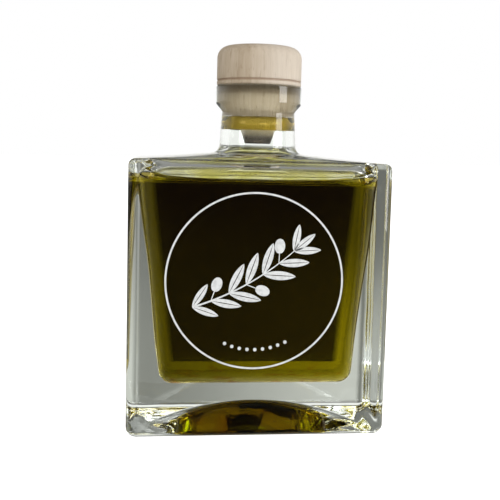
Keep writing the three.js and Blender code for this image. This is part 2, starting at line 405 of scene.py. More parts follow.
def sway(points):
    """The blown inner wall is a little uneven, and the cavity drifts sideways towards its top."""
    x, y, z = points.T
    climbed = np.clip((z - CAVITY_FLOOR_Z) / (CAVITY_TOP_Z - CAVITY_FLOOR_Z), 0, 1)
    below_rim = CEILING_RIM_Z - z
    share = np.clip((z - CAVITY_FLOOR_Z) / SWAY_FADE_LOW, 0, 1) * np.clip(below_rim / SWAY_FADE_HIGH, 0, 1)
    wave = sum(height * np.sin(z / run_z + x / run_x + start) for height, run_x, run_z, start in SWAY_WAVES)
    side_wave = np.sin(z / SIDE_WAVE[1] + y / SIDE_WAVE[0] + np.sign(x))
    moved = points.copy()
    moved[:, 0] += CAVITY_LEAN * climbed * np.clip(below_rim / LEAN_FADE, 0, 1)
    moved[:, 0] += WALL_SWAY * share * np.sign(x) * side_wave
    moved[:, 1] += WALL_SWAY * share * np.sign(y) * wave * np.minimum(1, np.abs(y) / SWAY_FADE_MIDDLE)
    return moved


def cavity_floor_levels():
    return CAVITY_FLOOR_Z + FLOOR_ROUND * (1 - np.cos(quarter_turn()))


# Glass

def body_outline(inset, z):
    return outline(HALF_WIDTH - inset, HALF_DEPTH - inset, BODY_CORNER - inset, 0.0, z)


def outside_of_body():
    punt = []
    for t in np.linspace(0, 1, 2 * ARC_STEPS + 1)[1:]:
        depth = PUNT_HALF_DEPTH * lerp(t, t * t, PUNT_RIDGE)
        punt.append(outline(PUNT_HALF_WIDTH * t, depth, 0.0, 1.0, PUNT_HEIGHT * (1 - t * t)))
    foot = []
    for angle in quarter_turn():
        inset = FOOT_ROUND * (1 - math.sin(angle))
        foot.append(body_outline(inset, FOOT_ROUND * (1 - math.cos(angle))))
    wall_levels = np.linspace(FOOT_ROUND, SHOULDER_Z - SHOULDER_ROUND, OUTER_WALL_LEVELS)[1:-1]
    wall = [body_outline(0.0, z) for z in wall_levels]
    rim = []
    for angle in quarter_turn():
        drop = SHOULDER_ROUND * (1 - math.sin(angle))
        rim.append(body_outline(SHOULDER_ROUND * (1 - math.cos(angle)), SHOULDER_Z - drop))
    neck_foot = NECK_FOOT_RADIUS + NECK_FILLET
    shoulder = []
    for t in np.linspace(0, 1, ARC_STEPS + 1)[1:]:
        width = lerp(HALF_WIDTH - SHOULDER_ROUND, neck_foot, t)
        depth = lerp(HALF_DEPTH - SHOULDER_ROUND, neck_foot, t)
        corner = lerp(BODY_CORNER - SHOULDER_ROUND, neck_foot, t)
        shoulder.append(outline(width, depth, corner, t, SHOULDER_Z + SHOULDER_RISE * t))
    return punt + foot + wall + rim + shoulder


def neck_and_lip():
    """Outlines up the outside of the neck, round the lip and down the bore."""
    fillet_top_z = SHOULDER_Z + SHOULDER_RISE + NECK_FILLET
    chamfer_foot_z = LIP_FOOT_Z - (LIP_RADIUS - NECK_TOP_RADIUS)
    neck_top_z = chamfer_foot_z - CHAMFER_EASE_DROP
    rings = []
    for angle in quarter_turn()[1:]:
        radius = NECK_FOOT_RADIUS + NECK_FILLET * (1 - math.sin(angle))
        rings.append(circle(radius, fillet_top_z - NECK_FILLET * math.cos(angle)))
    for t in np.linspace(0, 1, ARC_STEPS + 1)[1:]:
        radius = lerp(NECK_FOOT_RADIUS, NECK_TOP_RADIUS, t)
        rings.append(circle(radius, lerp(fillet_top_z, neck_top_z, t)))
    rings.append(circle(NECK_TOP_RADIUS + CHAMFER_EASE_OUT, chamfer_foot_z + CHAMFER_EASE_RISE))
    rings.append(circle(LIP_RADIUS - LIP_FOOT_ROUND, LIP_FOOT_Z - LIP_FOOT_ROUND))
    for angle in quarter_turn(CHAMFER_STEPS)[1:]:
        radius = LIP_RADIUS - LIP_FOOT_ROUND * (1 - math.sin(angle)) ** 2
        rise = LIP_FOOT_ROUND * math.sin(angle)
        rings.append(circle(radius, LIP_FOOT_Z - LIP_FOOT_ROUND + 2 * rise))
    for angle in quarter_turn(SMALL_ARC_STEPS):
        radius = LIP_RADIUS - LIP_ROUND * (1 - math.cos(angle))
        rings.append(circle(radius, LIP_TOP_Z - LIP_ROUND * (1 - math.sin(angle))))
    for angle in quarter_turn(SMALL_ARC_STEPS):
        radius = BORE_RADIUS + LIP_ROUND * (1 - math.sin(angle))
        rings.append(circle(radius, LIP_TOP_Z - LIP_ROUND * (1 - math.cos(angle))))
    for z in np.linspace(LIP_TOP_Z - LIP_ROUND, PLUG_CONE_TOP_Z, BORE_LEVELS)[1:]:
        rings.append(circle(BORE_RADIUS, z))
    for z in np.linspace(PLUG_CONE_TOP_Z, BORE_FOOT_Z, WIDENING_BORE_LEVELS)[1:]:
        rings.append(circle(bore_radius(z), z))
    return rings


def bore_radius(z):
    """The bore widens downwards with the neck, below the plug's cylinder."""
    t = (PLUG_CONE_TOP_Z - z) / (PLUG_CONE_TOP_Z - BORE_FOOT_Z)
    return lerp(BORE_RADIUS, BORE_FOOT_RADIUS, max(t, 0.0))


def inside_of_body():
    rings = []
    for angle in quarter_turn()[1:]:
        radius = lerp(BORE_FOOT_RADIUS, FLARE_RADIUS, 1 - math.cos(angle))
        rings.append(circle(radius, BORE_FOOT_Z - (BORE_FOOT_Z - CEILING_Z) * math.sin(angle)))
    rim_round = CEILING_RIM_Z - CAVITY_TOP_Z
    for t in np.linspace(0, 1, ARC_STEPS + 1)[1:-1]:
        width, depth, corner = lerp(FLARE_RADIUS, cavity_rim(), t)
        rings.append(outline(width, depth, corner, 1 - t, lerp(CEILING_Z, CEILING_RIM_Z, t)))
    for angle in quarter_turn():
        rings.append(cavity_outline(CAVITY_TOP_Z + rim_round * math.cos(angle)))
    for z in np.linspace(CAVITY_TOP_Z, CAVITY_FLOOR_Z + FLOOR_ROUND, WALL_LEVELS)[1:-1]:
        rings.append(cavity_outline(z))
    rings += [cavity_outline(z) for z in cavity_floor_levels()[::-1]]
    return rings


def bottle_glass(clear, wetted, film_and_reflection):
    """One skin, up the outside and down the inside. Oil wets the inside below; above, the inside carries a
    thin film and a painted reflection of the oil.
    """
    outside = outside_of_body() + neck_and_lip()
    rings = outside + inside_of_body()
    glass = loft("clear_glass_bottle", PUNT_HEIGHT, rings, CAVITY_FLOOR_Z, [clear, wetted, film_and_reflection])
    contact_z = (OIL_LEVEL_Z + MENISCUS_RISE) * MM
    first_inner_vertex = 1 + len(outside) * RING_POINTS
    for face in glass.data.polygons:
        if min(face.vertices) >= first_inner_vertex:
            face.material_index = 1 if face.center.z < contact_z else 2
    return glass


# Oil

def meniscus_lift(distance):
    """How far the free surface climbs towards the wall, higher in the corners."""
    index = np.arange(RING_POINTS)
    per_quarter = CORNER_STEPS + SIDE_STEPS
    from_corner = np.abs((index - CORNER_STEPS / 2 + per_quarter / 2) % per_quarter - per_quarter / 2)
    cornering = np.exp(-(from_corner / (MENISCUS_CORNER_SPREAD * CORNER_STEPS)) ** 2)
    return (MENISCUS_RISE + MENISCUS_CORNER_RISE * cornering) * math.exp(-distance / MENISCUS_WIDTH)


def olive_oil(on_glass, surface):
    """Oil that wets the cavity up to a meniscus, reaching just into the wall."""
    rings = [cavity_outline(z, -WALL_REACH) for z in cavity_floor_levels()]
    for ring in rings:
        ring[:, 2] -= WALL_REACH * np.clip(1 - (ring[:, 2] - CAVITY_FLOOR_Z) / FLOOR_ROUND, 0, 1)
    for z in np.linspace(CAVITY_FLOOR_Z + FLOOR_ROUND, OIL_LEVEL_Z, WALL_LEVELS)[1:]:
        rings.append(cavity_outline(z, -WALL_REACH))
    top = meniscus_lift(0.0)
    for share in np.linspace(0, 1, MENISCUS_LEVELS)[1:]:
        rings.append(climbing_outline(OIL_LEVEL_Z + share * top, -WALL_REACH))
    first_free_vertex = 1 + len(rings) * RING_POINTS
    for distance in FREE_SURFACE_INSETS:
        level = OIL_LEVEL_Z + meniscus_lift(distance)
        rings.append(climbing_outline(level, distance))
    oil = loft("olive_oil_fill", CAVITY_FLOOR_Z - WALL_REACH, rings, OIL_LEVEL_Z, [on_glass, surface])
    for face in oil.data.polygons:
        if min(face.vertices) >= first_free_vertex:
            face.material_index = 1
    return oil


def climbing_outline(levels, inset):
    """A cavity outline whose height changes along it."""
    heights = np.linspace(levels.min(), levels.max(), CLIMB_LEVELS)
    stack = np.stack([cavity_outline(z, inset) for z in heights])
    if heights[-1] - heights[0] < 1e-6:
        return stack[0]
    place = (levels - heights[0]) / (heights[-1] - heights[0]) * (len(heights) - 1)
    low = np.minimum(place.astype(int), len(heights) - 2)
    along = np.arange(RING_POINTS)
    return lerp(stack[low, along], stack[low + 1, along], (place - low)[:, None])


def cone_radius(z):
    t = (z - PLUG_CONE_FOOT_Z) / (PLUG_CONE_TOP_Z - PLUG_CONE_FOOT_Z)
    return lerp(TIP_TOP_RADIUS, BORE_RADIUS, t)


def neck_oil_ring(material):
    """Oil held in the wedge between the plug's cone and the bore."""
    outer = bore_radius(RING_FOOT_Z) + WALL_REACH
    inner = cone_radius(RING_FOOT_Z) - WALL_REACH
    surface = []
    for t in np.linspace(0, 1, SAG_POINTS):
        surface.append((lerp(inner, outer, t), RING_FOOT_Z + RING_SAG * math.sin(t * math.pi)))
    outer_top = bore_radius(RING_TOP_Z) + WALL_REACH
    profile = surface + [(outer_top, RING_TOP_Z), (cone_radius(RING_TOP_Z) - WALL_REACH, RING_TOP_Z)]
    return turned("oil_under_stopper", profile, [material], closed=True)


# Stopper

def stopper_plug(material):
    reach = BORE_RADIUS + WALL_REACH / 2
    profile = [(0, PLUG_TIP_Z)]
    for angle in quarter_turn(SMALL_ARC_STEPS):
        radius = TIP_FOOT_RADIUS - TIP_ROUND * (1 - math.sin(angle))
        profile.append((radius, PLUG_TIP_Z + TIP_ROUND * (1 - math.cos(angle))))
    profile += [(TIP_TOP_RADIUS, PLUG_CONE_FOOT_Z), (reach, PLUG_CONE_TOP_Z)]
    profile += [(reach, HEAD_FOOT_Z), (0, HEAD_FOOT_Z)]
    return turned("stopper_shank", profile, [material])


def stopper_head(material):
    edge_z = HEAD_TOP_Z - HEAD_DOME - HEAD_ROUND
    flat_radius = HEAD_RADIUS - HEAD_ROUND
    profile = [(0, HEAD_FOOT_Z), (HEAD_FOOT_RING, HEAD_FOOT_Z), (HEAD_RADIUS - HEAD_CHAMFER, HEAD_FOOT_Z)]
    for angle in quarter_turn(CHAMFER_STEPS)[1:]:
        radius = HEAD_RADIUS - HEAD_CHAMFER * (1 - math.sin(angle))
        profile.append((radius, HEAD_FOOT_Z + HEAD_CHAMFER * (1 - math.cos(angle))))
    groove_z = HEAD_FOOT_Z + GROOVE_Z
    for t in np.linspace(-1, 1, GROOVE_POINTS):
        depth = GROOVE_DEPTH * (0.5 + 0.5 * math.cos(t * math.pi))
        profile.append((HEAD_RADIUS - depth, groove_z + t * GROOVE_HALF_WIDTH))
    side_low, side_high = groove_z + HEAD_SIDE_MARGIN, edge_z - HEAD_SIDE_MARGIN
    profile += [(HEAD_RADIUS, z) for z in np.linspace(side_low, side_high, HEAD_SIDE_POINTS)]
    for angle in quarter_turn():
        profile.append((flat_radius + HEAD_ROUND * math.cos(angle), edge_z + HEAD_ROUND * math.sin(angle)))
    for t in np.linspace(1, 0, HEAD_DOME_POINTS)[1:]:
        profile.append((flat_radius * t, HEAD_TOP_Z - HEAD_DOME * t * t))
    return turned("turned_wooden_head", profile, [material])


# Print

def bridge(tree, source, target):
    tree.links.new(source, target)


def calculate(tree, operation, *values):
    """A math node: numbers are set on it and sockets are linked to it."""
    node = add(tree, "ShaderNodeMath", operation=operation)
    for socket, value in zip(node.inputs, values):
        value_or_link(tree, socket, value)
    return node.outputs[0]


def stroke(tree, curve, half_width, thickness):
    """A flat band of even thickness along a curve that lies in the XY plane."""
    across = add(tree, "GeometryNodeCurvePrimitiveQuadrilateral", Width=2.0, Height=2.0)
    band = add(tree, "GeometryNodeCurveToMesh", Fill_Caps=True)
    bridge(tree, curve, band.inputs["Curve"])
    bridge(tree, half_width, band.inputs["Scale"])
    bridge(tree, across.outputs[0], band.inputs["Profile Curve"])
    place = tree.nodes.new("GeometryNodeInputPosition")
    parts = tree.nodes.new("ShaderNodeSeparateXYZ")
    bridge(tree, place.outputs[0], parts.inputs[0])
    level = calculate(tree, "MULTIPLY", calculate(tree, "SIGN", parts.outputs["Z"]), thickness)
    whole = tree.nodes.new("ShaderNodeCombineXYZ")
    bridge(tree, parts.outputs["X"], whole.inputs["X"])
    bridge(tree, parts.outputs["Y"], whole.inputs["Y"])
    bridge(tree, level, whole.inputs["Z"])
    flat = tree.nodes.new("GeometryNodeSetPosition")
    bridge(tree, band.outputs[0], flat.inputs["Geometry"])
    bridge(tree, whole.outputs[0], flat.inputs["Position"])
    return flat.outputs[0]


def blade(tree, start, length, width, fullness, thickness, side=0, gap=0.0):
    """A leaf-like shape along X. With a side of 1 or -1 it is that half of a leaf, with 0 the whole."""
    first, last, offset = [tree.nodes.new("ShaderNodeCombineXYZ") for _ in range(3)]
    first.inputs["X"].default_value = start
    bridge(tree, calculate(tree, "ADD", length, start), last.inputs["X"])
    line = tree.nodes.new("GeometryNodeCurvePrimitiveLine")
    bridge(tree, first.outputs[0], line.inputs["Start"])
    bridge(tree, last.outputs[0], line.inputs["End"])
    fine = add(tree, "GeometryNodeResampleCurve", Count=BLADE_POINTS)
    bridge(tree, line.outputs[0], fine.inputs["Curve"])
    along = tree.nodes.new("GeometryNodeSplineParameter").outputs["Factor"]
    arch = calculate(tree, "MULTIPLY", along, calculate(tree, "SUBTRACT", 1.0, along))
    swell = calculate(tree, "POWER", calculate(tree, "MULTIPLY", arch, 4.0), fullness)
    half = calculate(tree, "MULTIPLY", swell, calculate(tree, "MULTIPLY", width, 0.25 if side else 0.5))
    aside = calculate(tree, "MULTIPLY_ADD", swell, gap, half)
    bridge(tree, calculate(tree, "MULTIPLY", aside, side), offset.inputs["Y"])
    moved = tree.nodes.new("GeometryNodeSetPosition")
    bridge(tree, fine.outputs[0], moved.inputs["Geometry"])
    bridge(tree, offset.outputs[0], moved.inputs["Offset"])
    return stroke(tree, moved.outputs[0], half, thickness)


def together(tree, *parts):
    node = tree.nodes.new("GeometryNodeJoinGeometry")
    for part in parts:
        bridge(tree, part, node.inputs[0])
    return node.outputs[0]


def set_along(tree, curve, piece, angle, size=None, chosen=None):
    """Copies of a piece on a curve's points, turned from its tangent by an angle in its plane."""
    tangent = tree.nodes.new("GeometryNodeInputTangent")
    aligned = add(tree, "FunctionNodeAlignRotationToVector", axis="X", pivot_axis="Z")
    bridge(tree, tangent.outputs[0], aligned.inputs["Vector"])
    turn = add(tree, "FunctionNodeAxisAngleToRotation", Axis=(0, 0, 1))
    value_or_link(tree, turn.inputs["Angle"], angle)
    both = add(tree, "FunctionNodeRotateRotation", rotation_space="LOCAL")
    bridge(tree, aligned.outputs[0], both.inputs["Rotation"])
    bridge(tree, turn.outputs[0], both.inputs["Rotate By"])
    copies = tree.nodes.new("GeometryNodeInstanceOnPoints")
    bridge(tree, curve, copies.inputs["Points"])
    bridge(tree, piece, copies.inputs["Instance"])
    bridge(tree, both.outputs[0], copies.inputs["Rotation"])
    for name, given in (("Scale", size), ("Selection", chosen)):
        if given is not None:
            bridge(tree, given, copies.inputs[name])
    return copies.outputs[0]


def wander(tree, middle, spread, seed):
    """A number that varies from copy to copy."""
    node = add(tree, "FunctionNodeRandomValue", data_type="FLOAT")
    low, high = [socket for socket in node.inputs if socket.type == "VALUE"][:2]
    low.default_value = middle - spread
    high.default_value = middle + spread
    bridge(tree, seed, node.inputs["Seed"])
    return next(socket for socket in node.outputs if socket.type == "VALUE")


def printed_ring(tree, given, thickness):
    line = add(tree, "GeometryNodeCurvePrimitiveCircle", Resolution=RING_PRINT_POINTS)
    bridge(tree, given["Ring Radius"], line.inputs["Radius"])
    return stroke(tree, line.outputs[0], calculate(tree, "MULTIPLY", given["Line Width"], 0.5), thickness)


def halved_leaf(tree, given, thickness):
    """A leaf in two halves, with a bare midrib."""
    halves = []
    for side in (1, -1):
        halves.append(blade(tree, 0.0, given["Leaf Length"], given["Leaf Width"], LEAF_FULLNESS, thickness,
                            side, LEAF_GAP * MM))
    return together(tree, *halves)


def olive_on_stalk(tree, thickness):
    fruit = blade(tree, OLIVE_STALK * MM, OLIVE_LENGTH * MM, OLIVE_WIDTH * MM, ROUND_FULLNESS, thickness)
    stalk_length = (OLIVE_STALK + STALK_OVERLAP) * MM
    stalk = blade(tree, 0.0, stalk_length, STEM_LINE * MM / 2, STALK_FULLNESS, thickness)
    return together(tree, fruit, stalk)


def sprig(tree, given, thickness):
    """A stem with pairs of leaves and one at its end. Here and there an olive takes a leaf's place."""
    path = add(tree, "GeometryNodeCurveQuadraticBezier", Resolution=STEM_POINTS)
    for socket, (x, y) in (("Start", SPRIG_START), ("Middle", SPRIG_BEND), ("End", SPRIG_END)):
        path.inputs[socket].default_value = (x * MM, y * MM, 0)
    along = tree.nodes.new("GeometryNodeSplineParameter").outputs["Factor"]
    taper = calculate(tree, "MULTIPLY_ADD", along, -STEM_LINE * MM / 4, STEM_LINE * MM / 2)
    stem = stroke(tree, path.outputs[0], taper, thickness)

    pairs = tree.nodes.new("GeometryNodeResampleCurve")
    bridge(tree, path.outputs[0], pairs.inputs["Curve"])
    bridge(tree, given["Leaf Pairs"], pairs.inputs["Count"])
    climbed = calculate(tree, "MULTIPLY", calculate(tree, "ADD", along, LEAF_SIZE_START), LEAF_SIZE_ARCH)
    size = calculate(tree, "MULTIPLY_ADD", calculate(tree, "SINE", climbed), LEAF_SIZE_GAIN, LEAF_SIZE_LOW)
    number = tree.nodes.new("GeometryNodeInputIndex").outputs[0]
    bearing, upper = [
        calculate(tree, "COMPARE", calculate(tree, "MODULO", number, every), 1.0, 0.1)
        for every in (OLIVE_EVERY, OLIVE_SIDE_EVERY)]
    lower = calculate(tree, "SUBTRACT", bearing, upper)

    leaf = halved_leaf(tree, given, thickness)
    copies = []
    for side, taken in ((1, upper), (-1, lower)):
        angle = wander(tree, side * math.radians(LEAF_ANGLE), math.radians(LEAF_SPREAD), given["Seed"])
        free = calculate(tree, "SUBTRACT", 1.0, taken)
        copies.append(set_along(tree, pairs.outputs[0], leaf, angle, size, free))
    end = add(tree, "GeometryNodeCurveEndpointSelection", Start_Size=0, End_Size=1)
    copies.append(set_along(tree, pairs.outputs[0], leaf, 0.0, size, end.outputs[0]))
    outwards = math.radians(OLIVE_ANGLE)
    hang = calculate(tree, "MULTIPLY_ADD", upper, 2 * outwards, -outwards)
    copies.append(set_along(tree, pairs.outputs[0], olive_on_stalk(tree, thickness), hang, chosen=bearing))
    return [stem, *copies]


def row_of_dots(tree, thickness):
    sweep = math.radians(DOT_ARC_SWEEP)
    arc = add(tree, "GeometryNodeCurveArc", Resolution=DOT_COUNT, Radius=DOT_ARC_RADIUS * MM,
              Start_Angle=-math.pi / 2 - sweep / 2, Sweep_Angle=sweep)
    dot = blade(tree, 0.0, DOT_SIZE * MM, DOT_SIZE * MM, ROUND_FULLNESS, thickness)
    return set_along(tree, arc.outputs["Curve"], dot, 0.0)


def print_tree(enamel):
    tree = bpy.data.node_groups.new("olive_sprig_print", "GeometryNodeTree")
    tree.interface.new_socket("Geometry", in_out="OUTPUT", socket_type="NodeSocketGeometry")
    for name, kind in PRINT_INPUTS.items():
        tree.interface.new_socket(name, in_out="INPUT", socket_type=kind)
    given = tree.nodes.new("NodeGroupInput").outputs
    thickness = calculate(tree, "MULTIPLY", given["Thickness"], 0.5)
    ring = printed_ring(tree, given, thickness)
    parts = [ring, *sprig(tree, given, thickness), row_of_dots(tree, thickness)]

    whole = tree.nodes.new("GeometryNodeRealizeInstances")
    bridge(tree, together(tree, *parts), whole.inputs[0])
    centre_x, centre_z = PRINT_CENTRE
    centre = (centre_x * MM, -(HALF_DEPTH + PRINT_PROUD) * MM, centre_z * MM)
    upright = add(tree, "GeometryNodeTransform", Rotation=(math.pi / 2, 0, 0), Translation=centre)
    bridge(tree, whole.outputs[0], upright.inputs["Geometry"])
    painted = add(tree, "GeometryNodeSetMaterial", Material=enamel)
    bridge(tree, upright.outputs[0], painted.inputs["Geometry"])
    out = tree.nodes.new("NodeGroupOutput")
    bridge(tree, painted.outputs[0], out.inputs[0])
    return tree


def front_print(enamel):
    """The print follows from its node tree, and is then kept as a plain mesh."""
    seed_object = mesh_object("print_source", [(0, 0, 0)], [], [])
    modifier = seed_object.modifiers.new("print", "NODES")
    tree = print_tree(enamel)
    modifier.node_group = tree
    values = {
        "Ring Radius": PRINT_RADIUS * MM,
        "Line Width": PRINT_LINE * MM,
        "Thickness": PRINT_THICKNESS * MM,
        "Leaf Length": LEAF_LENGTH * MM,
        "Leaf Width": LEAF_WIDTH * MM,
        "Leaf Pairs": LEAF_PAIRS,
        "Seed": PRINT_SEED,
    }
    for item in tree.interface.items_tree:
        if item.in_out == "INPUT":
            modifier[item.identifier] = values[item.name]
    ready = seed_object.evaluated_get(bpy.context.evaluated_depsgraph_get())
    mesh = bpy.data.meshes.new_from_object(ready)
    mesh.name = "white_sprig_print"
    mesh.polygons.foreach_set("use_smooth", [False] * len(mesh.polygons))
    piece = bpy.data.objects.new("white_sprig_print", mesh)
    bpy.context.scene.collection.objects.link(piece)
    source_mesh = seed_object.data
    bpy.data.objects.remove(seed_object)
    bpy.data.meshes.remove(source_mesh)
    return piece


# Materials

def new_material(name):
    material = bpy.data.materials.new(name)
    material.use_nodes = True
    tree = material.node_tree
    shader = tree.nodes["Principled BSDF"]
    return material, tree, shader


def add(tree, kind, **values):
    """A node whose keyword values set its properties, or its inputs by socket name with _ for spaces."""
    node = tree.nodes.new(kind)
    for name, value in values.items():
        if hasattr(node, name):
            setattr(node, name, value)
        else:
            node.inputs[name.replace("_", " ")].default_value = value
    return node


def value_or_link(tree, socket, value):
    if isinstance(value, bpy.types.NodeSocket):
        bridge(tree, value, socket)
    elif isinstance(value, tuple):
        socket.default_value = (*value, 1)
    else:
        socket.default_value = value


def blend(tree, share, a, b):
    """A colour between two, each a tuple or a socket."""
    node = add(tree, "ShaderNodeMix", data_type="RGBA")
    for socket, value in ((0, share), (6, a), (7, b)):
        value_or_link(tree, node.inputs[socket], value)
    return node.outputs[2]


def ramped(tree, value, low, high, first=0.0, last=1.0):
    """A smooth step from one value to another."""
    node = add(tree, "ShaderNodeMapRange", interpolation_type="SMOOTHSTEP",
               From_Min=low, From_Max=high, To_Min=first, To_Max=last)
    bridge(tree, value, node.inputs["Value"])
    return node.outputs["Result"]


def object_place(tree):
    return tree.nodes.new("ShaderNodeTexCoord").outputs["Object"]


def place_mm(tree, axis):
    parts = tree.nodes.new("ShaderNodeSeparateXYZ")
    bridge(tree, object_place(tree), parts.inputs[0])
    return calculate(tree, "DIVIDE", parts.outputs[axis], MM)


def height_mm(tree):
    return place_mm(tree, "Z")


def cloud(tree, scale, stretch=(1, 1, 1), detail=2.0):
    """Soft noise from 0 to 1 at a scale in features to the metre, stretched where a factor is below 1."""
    fitted = add(tree, "ShaderNodeMapping", Scale=stretch)
    bridge(tree, object_place(tree), fitted.inputs["Vector"])
    noise = add(tree, "ShaderNodeTexNoise", Scale=scale, Detail=detail)
    bridge(tree, fitted.outputs[0], noise.inputs["Vector"])
    return noise.outputs["Fac"]


def relief(tree, shader, height, depth_mm):
    bump = add(tree, "ShaderNodeBump", Distance=depth_mm * MM)
    bridge(tree, height, bump.inputs["Height"])
    bridge(tree, bump.outputs[0], shader.inputs["Normal"])


def clear_liquid_or_glass(name, ior, absorbed, density):
    material, tree, shader = new_material(name)
    shader.inputs["Roughness"].default_value = 0.0
    shader.inputs["IOR"].default_value = ior
    shader.inputs["Transmission Weight"].default_value = 1.0
    absorb = add(tree, "ShaderNodeVolumeAbsorption", Color=(*absorbed, 1), Density=density)
    bridge(tree, absorb.outputs[0], tree.nodes["Material Output"].inputs["Volume"])
    return material, tree, shader


def glass_material(name):
    return clear_liquid_or_glass(name, GLASS_IOR, GLASS_ABSORBED, GLASS_DENSITY)


def clear_glass():
    """The outside, with the slow waves of pressed glass."""
    material, tree, shader = glass_material("clear_glass")
    shader.inputs["Base Color"].default_value = (*GLASS_TINT, 1)
    relief(tree, shader, cloud(tree, scale=75.0), depth_mm=0.09)
    return material


def wetted_glass():
    """The inside under the oil, which doesn't mirror there."""
    material, _, shader = glass_material("oil_wetted_glass")
    shader.inputs["Base Color"].default_value = (*GLASS_TINT, 1)
    shader.inputs["Specular Tint"].default_value = UNMIRRORED
    return material


def film_and_reflection_glass():
    """The inside above the oil: an olive tint, strongest in the middle under the neck, that is a painted
    reflection of the oil, with streaks of a thin oil film.
    """
    material, tree, shader = glass_material("oil_film_and_reflection_glass")
    aside = calculate(tree, "ABSOLUTE", place_mm(tree, "X"))
    # Painted reflection of the oil, strongest in the middle
    reflected_oil = ramped(tree, aside, *REFLECTION_REACH, 1.0, 0.25)
    streaks = ramped(tree, cloud(tree, scale=110.0, stretch=(1, 1, 0.5)), 0.35, 0.65, 0.6, 1.0)
    above = ramped(tree, height_mm(tree), CEILING_Z, BORE_FOOT_Z, 1.0, 0.0)
    share = calculate(tree, "MULTIPLY", calculate(tree, "MULTIPLY", reflected_oil, streaks), above)
    value_or_link(tree, shader.inputs["Base Color"], blend(tree, share, GLASS_TINT, FILM_AND_REFLECTION_TINT))
    shader.inputs["Specular Tint"].default_value = FILM_AND_REFLECTION_MIRRORED
    relief(tree, shader, cloud(tree, scale=140.0), depth_mm=0.12)
    return material


def oil_material(name):
    """Clear olive oil with a little brown lees on the floor."""
    material, tree, shader = clear_liquid_or_glass(name, OIL_IOR, OIL_ABSORBED, OIL_DENSITY)
    above_floor = calculate(tree, "SUBTRACT", height_mm(tree), CAVITY_FLOOR_Z)
    low = ramped(tree, above_floor, *LEES_FADE, 1.0, 0.0)
    spots = ramped(tree, cloud(tree, scale=160.0, detail=4.0), 0.52, 0.66)
    lees = calculate(tree, "MULTIPLY", low, spots)
    value_or_link(tree, shader.inputs["Base Color"], blend(tree, lees, OIL_TINT, LEES_COLOUR))
    return material, shader


def oil_on_glass():
    """Oil where it wets the glass, which doesn't mirror there."""
    material, shader = oil_material("dark_olive_oil")
    shader.inputs["Specular Tint"].default_value = UNMIRRORED
    return material


def oil_surface():
    """The oil's free surface."""
    material, _ = oil_material("olive_oil_surface")
    return material


def upright_grain():
    """Growth rings, fibres and short flecks of wood whose grain runs upright, each from 0 to 1."""
    tree = bpy.data.node_groups.new("upright_grain", "ShaderNodeTree")
    for name in ("Rings", "Fibres", "Flecks"):
        tree.interface.new_socket(name, in_out="OUTPUT", socket_type="NodeSocketFloat")
    out = tree.nodes.new("NodeGroupOutput")
    off_centre = add(tree, "ShaderNodeMapping", Location=(0.031, 0.024, 0))
    bridge(tree, object_place(tree), off_centre.inputs["Vector"])
    rings = add(tree, "ShaderNodeTexWave", wave_type="RINGS", rings_direction="Z",
                Scale=150.0, Distortion=3.0, Detail=2.0, Detail_Scale=0.6)
    bridge(tree, off_centre.outputs[0], rings.inputs["Vector"])
    bridge(tree, rings.outputs["Fac"], out.inputs["Rings"])
    fibres = cloud(tree, scale=2300.0, stretch=(1, 1, 0.06), detail=3.0)
    bridge(tree, ramped(tree, fibres, 0.3, 0.7), out.inputs["Fibres"])
    flecks = cloud(tree, scale=1500.0, stretch=(1, 1, 0.2), detail=1.0)
    bridge(tree, ramped(tree, flecks, 0.62, 0.7), out.inputs["Flecks"])
    return tree


def grained(tree, shader, grain, pale, dark, fleck):
    """Colour of upright grain. The relief and roughness of the fibres are set too."""
    lines = tree.nodes.new("ShaderNodeGroup")
    lines.node_tree = grain
    fibres, rings, flecks = (lines.outputs[name] for name in ("Fibres", "Rings", "Flecks"))
    patches = ramped(tree, cloud(tree, scale=110.0, stretch=(1, 1, 0.5)), 0.3, 0.7)
    share = calculate(tree, "MULTIPLY", fibres, FIBRE_SHARE)
    share = calculate(tree, "MULTIPLY_ADD", rings, RING_SHARE, share)
    share = calculate(tree, "MULTIPLY_ADD", patches, PATCH_SHARE, share)
    wood = blend(tree, share, pale, dark)
    colour = blend(tree, calculate(tree, "MULTIPLY", flecks, FLECK_SHARE), wood, fleck)
    relief(tree, shader, calculate(tree, "SUBTRACT", fibres, flecks), depth_mm=0.05)
    bridge(tree, ramped(tree, fibres, 0.0, 1.0, 0.52, 0.7), shader.inputs["Roughness"])
    return colour


def wood_material(grain):
    material, tree, shader = new_material("turned_beech")
    colour = grained(tree, shader, grain, **BEECH)
    # Painted light: paler towards the right, where the light falls
    lit_side = ramped(tree, place_mm(tree, "X"), *LIT_SIDE_REACH, 0.0, LIT_SIDE_SHARE)
    colour = blend(tree, lit_side, colour, LIT_SIDE_COLOUR)
    # Painted shade in the groove
    from_groove = calculate(tree, "SUBTRACT", height_mm(tree), HEAD_FOOT_Z + GROOVE_Z)
    groove_shade = ramped(tree, calculate(tree, "ABSOLUTE", from_groove), *GROOVE_SHADE_REACH, 0.5, 0.0)
    value_or_link(tree, shader.inputs["Base Color"], blend(tree, groove_shade, colour, GROOVE_SHADE_COLOUR))
    return material


